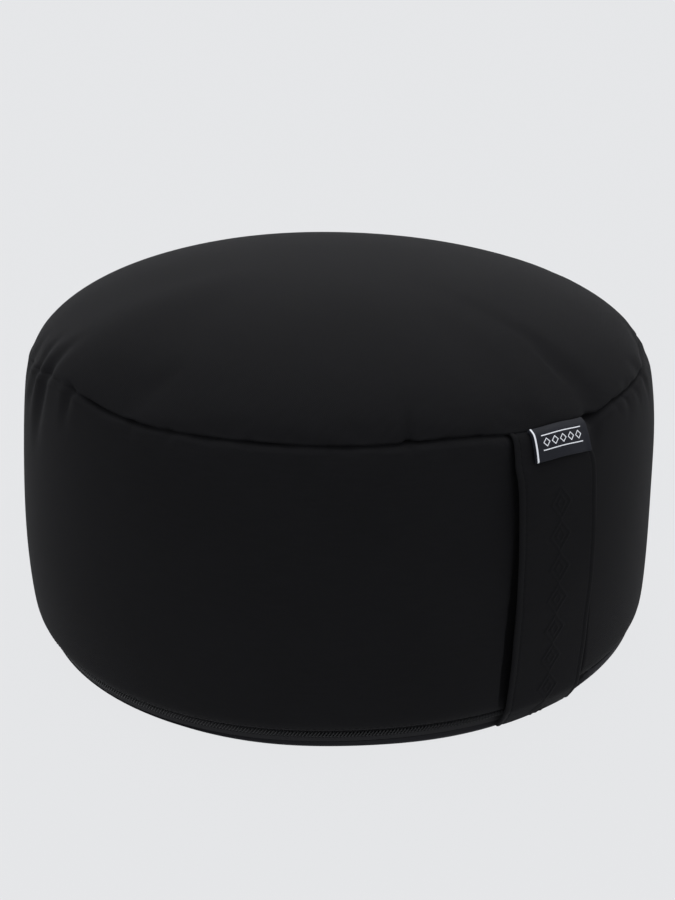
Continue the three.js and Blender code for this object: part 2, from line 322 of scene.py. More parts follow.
def makeThread():
    # spun polyester sewing thread: a little smoother than the cotton that it holds
    material, tree = newMaterial("polyesterThread")
    place = addNode(tree, "ShaderNodeTexCoord").outputs["Object"]
    ply = noiseAt(tree, place, (threadFinish["plyPitch"],) * 3, 1)
    bump = addNode(tree, "ShaderNodeBump", inputs={"Height": ply, "Distance": 0.00005, "Strength": 0.5})
    shader = addNode(tree, "ShaderNodeBsdfPrincipled", inputs={
        "Base Color": linearColor(threadFinish["color"]), "Roughness": threadFinish["roughness"],
        "Specular IOR Level": 0.06, "Normal": bump.outputs[0]})
    finishMaterial(tree, shader)
    return material


sewingThread = makeThread()

# The cover: top panel, side band and base panel over the filling

cover = {
    "columns": 240,
    "topSeamRadius": 0.1554,
    "topSeamHeight": 0.1518,
    "bottomSeamRadius": 0.1622,
    "bottomSeamHeight": 0.0185,
    "footRadius": 0.1386,
    "widestBulge": 0.00545,
    "bulgeFullness": 0.4,
    "bulgeLean": 1.118,
    "crownHeight": 0.1935,
    "crownBreadth": 2.54,
    "crownFlatness": 1.53,
    "crownShift": (-0.0036, 0.0027),
    "crownSlope": (-0.0038, 0.0019),
    "grooveDepth": 0.0026,
    "grooveReach": 0.0021,
    "grooveUneven": 0.3,
    "grooveHidden": {"angle": 166, "half": 17, "fade": 8, "fill": 0.0007},     # gathers cover it at the shoulder
    "grooveOpen": {"angle": -79.3, "width": 3, "depth": 0.0024, "reach": 0.002},
    "baseSway": 0.4,
    "footDraw": {"angle": -122, "width": 14, "in": 0.0058},
    "columnCrowds": [           # where the mesh columns stand closer
        {"angle": -98.9, "width": 5, "share": 0.62},
        {"angle": -81.1, "width": 5, "share": 0.62},
        {"angle": 171, "width": 14, "share": 0.45},
        {"angle": -68, "width": 9, "share": 0.4},
    ],
    "fill": 0.9,
}

# where the filling lifts or drops the top seam
seamWaves = [
    {"angle": 180, "width": 13, "rise": 0.007},
    {"angle": -140, "width": 26, "rise": 0.0012},
    {"angle": -108, "width": 10, "rise": 0.0016},
    {"angle": -94, "width": 6, "rise": -0.0016},
    {"angle": -72, "width": 20, "rise": -0.0018},
    {"angle": -82.5, "width": 5, "rise": -0.0018},
    {"angle": -77.5, "width": 3.2, "rise": -0.0017},
    {"angle": 20, "width": 30, "rise": 0.0016},
    {"angle": 105, "width": 22, "rise": -0.0015},
]

# how the lip over the bottom seam sags and lifts, and the zip with it
bottomWaves = [
    {"angle": -176, "width": 34, "rise": -0.0024},
    {"angle": -118, "width": 20, "rise": 0.0014},
]

# where the filling pushes the band out, at a share of its height
bandSwells = [
    {"angle": 180, "width": 35, "share": 0.28, "spread": 0.3, "rise": 0.0013},
    {"angle": -38, "width": 26, "share": 0.78, "spread": 0.2, "rise": 0.0014},
]

# creases that run up (+) and down (-) from the top seam
creaseFade = 1.4
seamCreases = [
    {"angle": -114.4, "lean": 0.3, "width": 1.2, "depth": 0.0026, "up": 0.040, "down": 0.006},
    {"angle": -160.8, "lean": 1, "width": 1.2, "depth": 0.0012, "up": 0.003, "down": 0.011},
    {"angle": -152.9, "lean": -1, "width": 1.3, "depth": 0.0012, "up": 0.004, "down": 0.010},
    {"angle": -139.4, "lean": 0.5, "width": 1.4, "depth": 0.0008, "up": 0.007, "down": 0.012},
    {"angle": -126.6, "lean": 0, "width": 1.2, "depth": 0.0008, "up": 0.005, "down": 0.007},
    {"angle": -123.8, "lean": 0.4, "width": 1.0, "depth": 0.0006, "up": 0.004, "down": 0.005},
    {"angle": -108.5, "lean": 0.4, "width": 1.1, "depth": 0.0007, "up": 0.004, "down": 0.008},
    {"angle": -102.8, "lean": -0.5, "width": 1.2, "depth": 0.0009, "up": 0.006, "down": 0.009},
    {"angle": -175.6, "lean": -1.6, "width": 1.5, "depth": 0.0025, "up": 0.004, "down": 0.021},
    {"angle": -78.6, "lean": -1.5, "width": 1.7, "depth": 0.0020, "up": 0.008, "down": 0.012},
    {"angle": -71.5, "lean": 1, "width": 1.2, "depth": 0.0008, "up": 0.004, "down": 0.007},
    {"angle": -67.6, "lean": 1.5, "width": 1.1, "depth": 0.0009, "up": 0.003, "down": 0.010},
    {"angle": -62.5, "lean": 1.5, "width": 1.4, "depth": 0.0008, "up": 0.006, "down": 0.014},
    {"angle": -56, "lean": 2, "width": 1.6, "depth": 0.0010, "up": 0.004, "down": 0.022},
    {"angle": -44, "lean": 0, "width": 8, "depth": 0.0022, "up": 0.026, "down": 0.008},
]
# long gathers that sweep over the seam at the shoulder
shoulderGathers = [
    {"angle": 174, "leanUp": 1.5, "leanDown": -3, "width": 2.8, "depth": 0.0027, "up": 0.040, "down": 0.042},
    {"angle": 168, "leanUp": -1, "leanDown": -3, "width": 2.5, "depth": 0.0018, "up": 0.036, "down": 0.024},
    {"angle": 160.5, "leanUp": -2, "leanDown": -2, "width": 2.8, "depth": 0.0010, "up": 0.030, "down": 0.018},
]
farCreases = {"first": -20, "last": 140, "step": 15.5, "wander": 4.2, "width": 2.0, "depth": 0.0014,
              "up": 0.012, "down": 0.026}

# the base panel's edge, the channel over it and the band's turned lip
bottomSeamSteps = [
    {"plainIn": 0.0012, "plainDown": 0.0057, "zipIn": 0.0036, "zipDown": 0.0101},
    {"plainIn": 0.0009, "plainDown": 0.0024, "zipIn": 0.0054, "zipDown": 0.0089},
    {"plainIn": 0.0034, "plainDown": -0.0006, "zipIn": 0.0045, "zipDown": -0.0045},
    {"plainIn": 0.0012, "plainDown": -0.0004, "zipIn": 0.0007, "zipDown": -0.0009},
    {"plainIn": 0, "plainDown": 0, "zipIn": 0, "zipDown": 0},
]
edgeTurn = {"plain": 72, "zip": 57}

zipper = {
    "start": -82,
    "end": -286,
    "spare": 2.5,
    "fade": 3.5,
    "lift": 0.00035,
    "tapeWidth": 0.0112,
    "tapeThickness": 0.001,
    "tapeFoot": 0.0007,
    "coilWidth": 0.0032,
    "coilHeight": 0.0016,
    "coilFoot": 0.0041,
    "toothPitch": 0.00164,      # a coarse coil, about size 8
    "strandRadius": 0.00031,
    "overlap": 0.0005,          # how far each side's loops reach past the middle
    "slant": -0.0015,
    "stitchDrop": 0.0009,       # the seam that holds the coil, below its foot
}

# the band lies flat behind the handle
handleBedFade = 0.8
handleBed = [
    {"height": 0.019, "depth": 0.0006, "half": 8.6},
    {"height": 0.026, "depth": 0.0046, "half": 8.6},
    {"height": 0.038, "depth": 0.0058, "half": 8.5},
    {"height": 0.060, "depth": 0.0056, "half": 8.2},
    {"height": 0.086, "depth": 0.0050, "half": 7.4},
    {"height": 0.112, "depth": 0.0026, "half": 6.8},
    {"height": 0.140, "depth": 0.0026, "half": 7.5},
    {"height": 0.152, "depth": 0.0026, "half": 7.5},
]


def waveAt(waves, angle):
    return sum(wave["rise"] * swell(angle, wave["angle"], wave["width"]) for wave in waves)


def seamHeight(angle):
    return cover["topSeamHeight"] + waveAt(seamWaves, angle)


def lipHeight(angle):
    return cover["bottomSeamHeight"] + waveAt(bottomWaves, angle)


def everyCrease():
    far = []
    angle = farCreases["first"]
    while angle <= farCreases["last"]:
        uneven = math.sin(angle * 0.37)
        far.append({
            "angle": angle + farCreases["wander"] * uneven,
            "lean": 2 * uneven,
            "width": farCreases["width"],
            "depth": farCreases["depth"] * (0.75 + 0.45 * uneven),
            "up": farCreases["up"] * (1 - 0.5 * uneven),
            "down": farCreases["down"] * (1 + 0.4 * uneven),
        })
        angle += farCreases["step"]
    return seamCreases + far


def creaseDepth(angle, above):
    depth = np.zeros_like(angle)
    for row in everyCrease():
        along = np.abs(above) / np.where(above > 0, row["up"], row["down"])
        across = turnBetween(row["angle"] + row["lean"] * along, angle) / row["width"]
        shape = (1 - across ** 2) * np.exp(-across ** 2)
        depth += row["depth"] * shape * np.clip(1 - along, 0, 1) ** creaseFade
    for row in shoulderGathers:
        along = np.abs(above) / np.where(above > 0, row["up"], row["down"])
        lean = np.where(above > 0, row["leanUp"], row["leanDown"]) * along
        across = turnBetween(row["angle"] + lean, angle) / row["width"]
        shape = (1 - across ** 2) * np.exp(-across ** 2)
        depth += row["depth"] * shape * np.clip(1 - along ** 2, 0, 1) ** 2
    return depth


def bedDepth(angle, height):
    aside = np.abs(turnBetween(handle["angle"], angle))
    heights = [row["height"] for row in handleBed]
    middle = np.interp(height, heights, [row["depth"] for row in handleBed])
    half = np.interp(height, heights, [row["half"] for row in handleBed])
    flat = middle - cover["topSeamRadius"] * (1 / np.cos(np.radians(np.minimum(aside, 60))) - 1)
    return np.maximum(flat, 0) * (1 - smoothStep(half, half + handleBedFade, aside))


def zipShare(angle):
    middle = (zipper["start"] + zipper["end"]) / 2
    half = abs(zipper["start"] - zipper["end"]) / 2 + zipper["spare"]
    return 1 - smoothStep(half, half + zipper["fade"], np.abs(turnBetween(middle, angle)))


def bandRadius(share):
    straight = cover["bottomSeamRadius"] + (cover["topSeamRadius"] - cover["bottomSeamRadius"]) * share
    bulge = np.clip(np.sin(np.pi * share ** cover["bulgeLean"]), 0, 1)
    return straight + cover["widestBulge"] * bulge ** cover["bulgeFullness"]


def lump(angle, share):
    turn = np.radians(angle)
    waves = np.sin(3 * turn + 0.7) + 0.6 * np.sin(5 * turn + 2.1 + 2 * share)
    pushed = 0
    for row in bandSwells:
        away = (share - row["share"]) / row["spread"]
        pushed = pushed + row["rise"] * swell(angle, row["angle"], row["width"]) * math.exp(-away ** 2)
    return (0.00045 * waves + pushed) * math.sqrt(max(math.sin(math.pi * share), 0))


def basePlace(share, angle):
    turn = np.radians(share * (edgeTurn["plain"] + (edgeTurn["zip"] - edgeTurn["plain"]) * zipShare(angle)))
    draw = cover["footDraw"]
    foot = cover["footRadius"] - draw["in"] * swell(angle, draw["angle"], draw["width"])
    radius = foot + (cover["bottomSeamRadius"] - foot) * np.sin(turn)
    edgeHeight = cover["bottomSeamHeight"] + cover["baseSway"] * waveAt(bottomWaves, angle)
    return around(radius, angle, edgeHeight * (1 - np.cos(turn)))


def bottomSeamPlace(step, angle):
    row = min(int(step), len(bottomSeamSteps) - 2)
    part = step - row
    here, there = bottomSeamSteps[row], bottomSeamSteps[row + 1]
    share = zipShare(angle)
    mixed = {key: here[key] + (there[key] - here[key]) * part for key in here}
    inward = mixed["plainIn"] + (mixed["zipIn"] - mixed["plainIn"]) * share
    down = mixed["plainDown"] + (mixed["zipDown"] - mixed["plainDown"]) * share
    sway = cover["baseSway"] + (1 - cover["baseSway"]) * min(step, 1)
    height = cover["bottomSeamHeight"] - down + sway * waveAt(bottomWaves, angle)
    return around(cover["bottomSeamRadius"] - inward, angle, height)


def bandPlace(share, angle):
    height = lipHeight(angle) + (seamHeight(angle) - lipHeight(angle)) * share
    return around(bandRadius(share) + lump(angle, share), angle, height)


def crownPlace(reach, angle):
    turn = np.arccos(np.clip(reach, 0, 1) ** (cover["crownBreadth"] / 2))
    rise = np.sin(turn) ** (2 / cover["crownFlatness"])
    seam = seamHeight(angle)
    slopeX, slopeY = cover["crownSlope"]
    top = cover["crownHeight"] + reach * (slopeX * np.cos(np.radians(angle)) + slopeY * np.sin(np.radians(angle)))
    place = around(cover["topSeamRadius"] * reach, angle, seam + (top - seam) * rise)
    place[..., 0] += cover["crownShift"][0] * (1 - reach)
    place[..., 1] += cover["crownShift"][1] * (1 - reach)
    return place


def coverRings():
    # each ring is a place function and a share of its stretch, from the floor upwards
    rings = [(basePlace, share) for share in (0, 0.2, 0.4, 0.58, 0.74, 0.87, 0.95)]
    rings += [(bottomSeamPlace, step / 3) for step in range(13)]
    bandSteps = 19
    shares = [0.5 - 0.5 * math.cos(math.pi * step / bandSteps) for step in range(1, bandSteps)]
    rings += [(bandPlace, share) for share in shares if share < 0.96]
    rings += [(bandPlace, 1 - down) for down in (0.030, 0.020, 0.0125, 0.006)]
    rings += [(crownPlace, math.cos(math.radians(turn)) ** (2 / cover["crownBreadth"]))
              for turn in (0, 1.1, 2.4, 4.2, 6.5, 9.5, 13.5, 18, 23, 28, 33, 38, 43, 48, 53, 58, 63)]
    return rings


def pullRings(rings):
    # a circle extruded ring by ring up the section, as on a lathe
    columns = cover["columns"]
    spots = [place(share, np.array([0.0]))[0] for place, share in rings]
    radii = [float(math.hypot(spot[0], spot[1])) for spot in spots]
    heights = [float(spot[2]) for spot in spots]
    deselectAll()
    bpy.ops.mesh.primitive_circle_add(vertices=columns, radius=radii[0], location=(0, 0, heights[0]))
    piece = namedPiece("cover")
    applyPlace(piece)
    bpy.ops.object.mode_set(mode="EDIT")
    bpy.ops.mesh.select_all(action="SELECT")
    for i in range(1, len(rings)):
        lift = {"value": (0, 0, heights[i] - heights[i - 1])}
        bpy.ops.mesh.extrude_region_move(TRANSFORM_OT_translate=lift)
        grow = radii[i] / radii[i - 1]
        bpy.ops.transform.resize(value=(grow, grow, 1), center_override=(0, 0, 0))
    bpy.ops.mesh.fill_grid(span=columns // 4, offset=0)
    bpy.ops.object.mode_set(mode="OBJECT")
    return piece


def closeBase(piece):
    columns = cover["columns"]
    makeActive(piece)
    bpy.ops.object.mode_set(mode="EDIT")
    bpy.ops.mesh.select_mode(type="VERT")
    bpy.ops.mesh.select_all(action="DESELECT")
    bpy.ops.object.mode_set(mode="OBJECT")
    chosen = np.zeros(len(piece.data.vertices), bool)
    chosen[:columns] = True
    piece.data.vertices.foreach_set("select", chosen)
    edges = np.empty(len(piece.data.edges) * 2, int)
    piece.data.edges.foreach_get("vertices", edges)
    piece.data.edges.foreach_set("select", chosen[edges.reshape(-1, 2)].all(1))
    bpy.ops.object.mode_set(mode="EDIT")
    bpy.ops.mesh.fill_grid(span=columns // 4, offset=0)
    bpy.ops.object.mode_set(mode="OBJECT")
    pointOut(piece)


def crowdColumns(angles):
    crowded = angles.copy()
    for row in cover["columnCrowds"]:
        away = turnBetween(row["angle"], angles) / row["width"]
        crowded -= row["share"] * row["width"] * away * np.exp(-away ** 2)
    return crowded


def shapeCover(piece, rings):
    # each ring takes its own uneven place, and the two middles follow
    columns = cover["columns"]
    points = readPoints(piece)
    angles = crowdColumns(np.degrees(np.arctan2(points[:, 1], points[:, 0])))
    panel = np.zeros(len(points), int)      # 0 base, 1 band, 2 top
    shaped = points.copy()
    for i, (place, share) in enumerate(rings):
        ring = slice(i * columns, (i + 1) * columns)
        shaped[ring] = place(share, angles[ring])
        panel[ring] = {basePlace: 0, bottomSeamPlace: 1, bandPlace: 1, crownPlace: 2}[place]
    middle = np.arange(len(rings) * columns, len(points))
    high = middle[points[middle, 2] > cover["topSeamHeight"]]
    low = middle[points[middle, 2] <= cover["topSeamHeight"]]
    reach = np.hypot(points[high, 0], points[high, 1]) / cover["topSeamRadius"]
    shaped[high] = crownPlace(reach, angles[high])
    shaped[low] = around(np.hypot(points[low, 0], points[low, 1]), angles[low], 0)
    panel[high] = 2
    writePoints(piece, shaped)
    return panel


def mapCloth(piece, panel):
    # straight grain on the two round panels, and the band unrolled along the seam
    mesh = piece.data
    layer = mesh.uv_layers.new(name="cloth")
    points = readPoints(piece)
    corners = np.empty(len(mesh.loops), int)
    mesh.loops.foreach_get("vertex_index", corners)
    sizes = np.array([polygon.loop_total for polygon in mesh.polygons])
    face = np.repeat(np.arange(len(sizes)), sizes)
    faceOf = np.zeros(len(sizes))
    np.add.at(faceOf, face, panel[corners])
    onBand = ((faceOf / sizes > 0.2) & (faceOf / sizes < 1.8))[face]
    angle = np.degrees(np.arctan2(points[:, 1], points[:, 0]))
    firstCorner = np.cumsum(sizes) - sizes
    start = angle[corners[firstCorner]][face]
    unrolled = start + turnBetween(start, angle[corners])
    radius = cover["bottomSeamRadius"]
    u = np.where(onBand, np.radians(unrolled) * radius, points[corners, 0])
    v = np.where(onBand, points[corners, 2], points[corners, 1])
    layer.data.foreach_set("uv", np.stack([u, v], -1).ravel())


fullness = {
    "pressure": 4,
    "frames": 20,
    "slack": -0.005,        # the panels are cut a little larger than the seams that hold them
    "mostMove": 0.0012,
}


def heldPoints(piece, rings):
    # both seams and the foot stay where they are sewn or stand
    columns = cover["columns"]
    held = piece.vertex_groups.new(name="held")
    names = [place for place, share in rings]
    firm = []
    for i, (place, share) in enumerate(rings):
        seam = place in (basePlace, bottomSeamPlace)
        topSeam = (place is bandPlace and share > 0.98) or (place is crownPlace and share > 0.9995)
        firstBand = place is bandPlace and names[i - 1] is bottomSeamPlace
        if seam or topSeam or firstBand:
            firm += range(i * columns, (i + 1) * columns)
    points = readPoints(piece)
    middle = range(len(rings) * columns, len(points))
    firm += [i for i in middle if points[i, 2] < 0.01]
    held.add(firm, 1, "REPLACE")


def inflate(piece, rings):
    before = readPoints(piece)
    heldPoints(piece, rings)
    makeActive(piece)
    modifier = piece.modifiers.new("filling", "CLOTH")
    settings = modifier.settings
    settings.quality = 6
    settings.mass = 0.2
    settings.tension_stiffness = 30
    settings.compression_stiffness = 30
    settings.shear_stiffness = 15
    settings.bending_stiffness = 0.6
    settings.use_pressure = True
    settings.uniform_pressure_force = fullness["pressure"]
    settings.shrink_min = fullness["slack"]
    settings.vertex_group_mass = "held"
    settings.effector_weights.gravity = 0
    modifier.collision_settings.use_collision = False
    modifier.point_cache.frame_start = 1
    modifier.point_cache.frame_end = fullness["frames"]
    for step in range(1, fullness["frames"] + 1):
        bpy.context.scene.frame_set(step)
    bpy.ops.object.modifier_apply(modifier=modifier.name)
    bpy.context.scene.frame_set(1)
    after = readPoints(piece)
    move = after - before
    size = np.linalg.norm(move, axis=1, keepdims=True)
    capped = np.minimum(size, fullness["mostMove"])
    print("filling moved the cloth by up to", round(float(size.max()) * 1000, 2), "mm")
    writePoints(piece, before + move * capped / np.maximum(size, 1e-9))
    piece.vertex_groups.clear()


def seamDistance(points):
    # how far up (+) the top panel or down (-) the band a point lies from the top seam
    angle = np.degrees(np.arctan2(points[:, 1], points[:, 0]))
    radius = np.hypot(points[:, 0], points[:, 1])
    rise = points[:, 2] - seamHeight(angle)
    return angle, radius, np.where(rise > 0, rise + np.clip(cover["topSeamRadius"] - radius, 0, 1), rise)


def sewTopSeam(piece):
    points = readPoints(piece)
    angle, radius, above = seamDistance(points)
    covered, opened = cover["grooveHidden"], cover["grooveOpen"]
    wide = swell(angle, opened["angle"], opened["width"])
    away = np.clip(np.abs(above) / (cover["grooveReach"] + opened["reach"] * wide), 0, 1)
    beside = np.abs(turnBetween(covered["angle"], angle))
    hidden = 1 - smoothStep(covered["half"], covered["half"] + covered["fade"], beside)
    uneven = np.sin(np.radians(angle * 23)) * np.sin(np.radians(angle * 9 + 40))
    depth = cover["grooveDepth"] * (1 - hidden) * (1 - cover["grooveUneven"] * (0.5 + uneven))
    groove = (depth + opened["depth"] * wide) * (1 - away) ** 2
    groove -= covered["fill"] * hidden * np.exp(-(above / 0.004) ** 2)
    onBand = smoothStep(cover["bottomSeamHeight"], cover["bottomSeamHeight"] + 0.002, points[:, 2]) * (above <= 0)
    drawnIn = groove + creaseDepth(angle, above) + bedDepth(angle, points[:, 2]) * onBand
    drawnIn = np.where(radius > 0.03, drawnIn, 0)
    points[:, :2] *= (1 - drawnIn / np.maximum(radius, 1e-6))[:, None]
    points[:, 2] = np.maximum(points[:, 2], 0)
    writePoints(piece, points)


def markBase(piece):
    # the base panel, up to its seam, takes its own cloth, whose colour is painted lighter to stand in for the floor's
    # light on its rim
    points = readPoints(piece)
    angle = np.degrees(np.arctan2(points[:, 1], points[:, 0]))
    foot = bottomSeamSteps[1]
    down = foot["plainDown"] + (foot["zipDown"] - foot["plainDown"]) * zipShare(angle)
    low = points[:, 2] <= lipHeight(angle) - down + 0.0004
    chosen = [int(all(low[corner] for corner in polygon.vertices)) for polygon in piece.data.polygons]
    piece.data.polygons.foreach_set("material_index", chosen)


def makeCover():
    rings = coverRings()
    piece = pullRings(rings)
    closeBase(piece)
    panel = shapeCover(piece, rings)
    mapCloth(piece, panel)
    print("cover has", len(piece.data.vertices), "points before the filling")
    inflate(piece, rings)
    finer = piece.modifiers.new("finer", "SUBSURF")
    finer.levels = 1
    finer.render_levels = 1
    applyModifiers(piece)
    sewTopSeam(piece)
    smoothShade(piece)
    piece.data.materials.append(makeCotton("wovenCottonDrill", cottonFinish))
    # the base panel's cloth, painted lighter for the floor's light on its rim
    piece.data.materials.append(makeCotton("baseCanvasPaintedLight", basePaintedLightFinish))
    markBase(piece)
    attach(piece, "root")
    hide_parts("cushion")
    stitchBand(piece)
    return piece


# Strips: a closed section carried along a run

def smoothRun(run, count):
    # a smooth line through a table of radius and height in even steps, its outward normals and length
    knots = np.array([[row["radius"], row["height"]] for row in run])
    knots = np.vstack([2 * knots[0] - knots[1], knots, 2 * knots[-1] - knots[-2]])
    t = np.linspace(0, 1, 24, endpoint=False)[:, None]
    dense = []
    for a, b, c, d in zip(knots, knots[1:], knots[2:], knots[3:]):
        curve = 2 * b + (c - a) * t + (2 * a - 5 * b + 4 * c - d) * t ** 2 + (3 * b - a - 3 * c + d) * t ** 3
        dense.append(0.5 * curve)
    dense = np.vstack([*dense, knots[-2:-1]])
    length = np.concatenate([[0], np.cumsum(np.linalg.norm(np.diff(dense, axis=0), axis=1))])
    even = np.linspace(0, length[-1], count)
    points = np.stack([np.interp(even, length, dense[:, i]) for i in (0, 1)], -1)
    along = np.gradient(points, axis=0)
    along /= np.linalg.norm(along, axis=1, keepdims=True)
    return points, np.stack([-along[:, 1], along[:, 0]], -1), float(length[-1])


def closedStrip(name, rows, across, along):
    # rows[station, corner] are places, across and along the same shape's cloth map
    count, sides = rows.shape[:2]
    index = np.arange(count * sides).reshape(count, sides)
    here, there = index[:-1], index[1:]
    quads = np.stack([here, np.roll(here, -1, 1), np.roll(there, -1, 1), there], -1).reshape(-1, 4)
    half = sides // 2
    ends = []
    for ring in (index[0], index[-1]):
        front, back = ring[:half], ring[half:][::-1]
        ends.append(np.stack([front[:-1], front[1:], back[1:], back[:-1]], -1))
    faces = np.concatenate([quads, *ends])
    mesh = bpy.data.meshes.new(name)
    mesh.from_pydata(rows.reshape(-1, 3).tolist(), [], faces.tolist())
    piece = bpy.data.objects.new(name, mesh)
    bpy.context.scene.collection.objects.link(piece)
    layer = mesh.uv_layers.new(name="cloth")
    corners = np.empty(len(mesh.loops), int)
    mesh.loops.foreach_get("vertex_index", corners)
    flat = np.stack([across.ravel()[corners], along.ravel()[corners]], -1)
    layer.data.foreach_set("uv", flat.ravel())
    pointOut(piece)
    return piece


# Stitches: one short thread, laid along each seam and joined into one mesh

stitching = {
    "thread": 0.00032,
    "sunk": 0.00012,
    "lipRise": 0.0017,          # above the band's lower lip
    "lipPitch": 0.0031,
    "lipShare": 0.72,           # how much of the pitch a stitch covers
}


def oneStitch(length):
    # x along the seam, z out of the cloth
    deselectAll()
    thick = stitching["thread"]
    bpy.ops.mesh.primitive_uv_sphere_add(segments=6, ring_count=5, radius=1, rotation=(0, math.radians(90), 0))
    piece = namedPiece("stitchThread")
    applyPlace(piece)
    bpy.ops.object.mode_set(mode="EDIT")
    bpy.ops.mesh.select_all(action="SELECT")
    bpy.ops.transform.resize(value=(length / 2, thick, thick), center_override=(0, 0, 0))
    bpy.ops.object.mode_set(mode="OBJECT")
    points = readPoints(piece)
    faces = [list(polygon.vertices) for polygon in piece.data.polygons]
    bpy.data.objects.remove(piece)
    return points, faces


def layStitches(name, cloth, spots, length):
    # each spot is a middle and a point further along; the nearest place on the cloth takes the stitch
    points, faces = oneStitch(length)
    surface = BVHTree.FromPolygons(
        [tuple(point) for point in readPoints(cloth)], [tuple(polygon.vertices) for polygon in cloth.data.polygons])
    places = []
    for middle, ahead in spots:
        found, outward = surface.find_nearest(middle)[:2]
        out = np.array(outward)
        along = np.array(ahead) - np.array(middle)
        along -= out * along.dot(out)
        along /= np.linalg.norm(along)
        side = np.cross(out, along)
        centre = np.array(found) - out * stitching["sunk"]
        places.append(centre + points @ np.array([along, side, out]))
    piece = repeated(name, points, faces, places)
    smoothShade(piece)
    piece.data.materials.append(sewingThread)
    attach(piece, "root")
    return piece


def stitchBand(cloth):
    # a row of topstitching along the band's lower lip, left out behind the handle
    step = math.degrees(stitching["lipPitch"] / cover["bottomSeamRadius"])
    angles = np.arange(handle["angle"] + 10, handle["angle"] + 350, step)
    spots = []
    for angle in angles:
        share = stitching["lipRise"] / (seamHeight(angle) - lipHeight(angle))
        spots.append([bandPlace(share, np.array(turn)) for turn in (angle, angle + step / 2)])
    return layStitches("bandStitches", cloth, spots, stitching["lipPitch"] * stitching["lipShare"])


def stitchHandle(cloth):
    centre, normal, length = smoothRun(handleRun, handle["stations"])
    pitch = handle["stitchPitch"]
    spots = []
    for side in (-1, 1):
        wide = side * (handle["width"] / 2 - handle["stitchInset"])
        for along in np.arange(0.004, length - 0.006, pitch):
            pair = []
            for spot in (along, along + pitch / 2):
                at = spot / length * (handle["stations"] - 1)
                row = min(int(at), handle["stations"] - 2)
                middle = centre[row] + (centre[row + 1] - centre[row]) * (at - row) + normal[row] * handle["thickness"]
                angle = handle["angle"] + np.degrees(wide / cover["bottomSeamRadius"])
                pair.append(settleHandle(middle[0], middle[1], np.array(angle)))
            spots.append(pair)
    return layStitches("strapStitches", cloth, spots, pitch * 0.74)


def stitchTape(cloth):
    # the seam that holds the coil to its tape
    step = math.degrees(zipper["toothPitch"] / cover["bottomSeamRadius"])
    top = zipper["lift"] + zipper["tapeThickness"]
    radius, height = channelPlace(zipper["coilFoot"] - zipper["stitchDrop"], top)
    spots = []
    for angle in np.arange(zipper["end"] + 0.6, zipper["start"] - 0.6, step):
        spots.append([around(radius, np.array(turn), height + waveAt(bottomWaves, turn)) for turn in (angle, angle + step / 2)])
    return layStitches("tapeStitches", cloth, spots, zipper["toothPitch"] * 0.7)


# The handle: one folded strap of the same cotton, sewn in at both seams

handle = {
    "angle": -90,
    "width": 0.046,
    "thickness": 0.0015,
    "flatness": 0.4,
    "taper": 0.15,              # drawn in at the top seam
    "stations": 300,
    "edgeRoll": 0.00022,        # the folded edges stand a little thicker
    "stitchInset": 0.0032,
    "stitchGroove": 0.00022,
    "stitchPitch": 0.0031,
    "motifTop": 0.026,          # from the top seam down the strap
    "motifEnd": 0.150,
    "motifPitch": 0.0155,
    "motifHalfWidth": 0.0062,
    "motifLine": 0.00055,
    "motifRelief": 0.0003,
}
handleRun = [
    {"radius": 0.1544, "height": 0.1496},
    {"radius": 0.1569, "height": 0.1484},
    {"radius": 0.1596, "height": 0.1447},
    {"radius": 0.1621, "height": 0.1399},
    {"radius": 0.1652, "height": 0.1307},
    {"radius": 0.1671, "height": 0.1100},
    {"radius": 0.1680, "height": 0.0850},
    {"radius": 0.1672, "height": 0.0580},
    {"radius": 0.1664, "height": 0.0400},
    {"radius": 0.1652, "height": 0.0225},
    {"radius": 0.1630, "height": 0.0162},
    {"radius": 0.1590, "height": 0.0096},
]


def settleHandle(radius, height, angle):
    # the strap keeps its width, is nearly flat across where it stands off, and follows the seam above
    aside = turnBetween(handle["angle"], angle)
    free = smoothStep(cover["bottomSeamHeight"], 0.05, height) * (1 - smoothStep(0.11, cover["topSeamHeight"], height))
    flattened = radius * (1 + handle["flatness"] * free * (1 / np.cos(np.radians(aside)) - 1))
    sewn = smoothStep(0.1, cover["topSeamHeight"], height)
    rise = sewn * (seamHeight(angle) - seamHeight(np.array(handle["angle"])))
    narrowed = 1 - handle["taper"] * smoothStep(0.136, cover["topSeamHeight"], height)
    turned = handle["angle"] + aside * narrowed * cover["bottomSeamRadius"] / radius
    return around(flattened, turned, height + rise)


def lozengeLine(across, along):
    # a chain of plain lozenges, each with a small one inside, as soft raised lines
    pitch, half, line = handle["motifPitch"], handle["motifHalfWidth"], handle["motifLine"]
    inside = (along > handle["motifTop"]) & (along < handle["motifEnd"])
    down = np.abs((along - handle["motifTop"]) % pitch - pitch / 2)
    slant = math.hypot(1 / half, 2 / pitch)
    raised = np.zeros_like(across)
    for size in (0.92, 0.4):
        away = np.abs(np.abs(across) / half + down * 2 / pitch - size) / slant
        raised = np.maximum(raised, np.exp(-(away / line) ** 2))
    return raised * inside


def handleColumns():
    half = handle["width"] / 2
    side = np.concatenate([np.arange(0.0009, 0.0058, 0.00045), np.arange(0.0068, half - 0.0072, 0.0012)])
    motif = np.linspace(-0.0072, 0.0072, 35)
    return np.concatenate([-half + side, motif, (half - side)[::-1]])


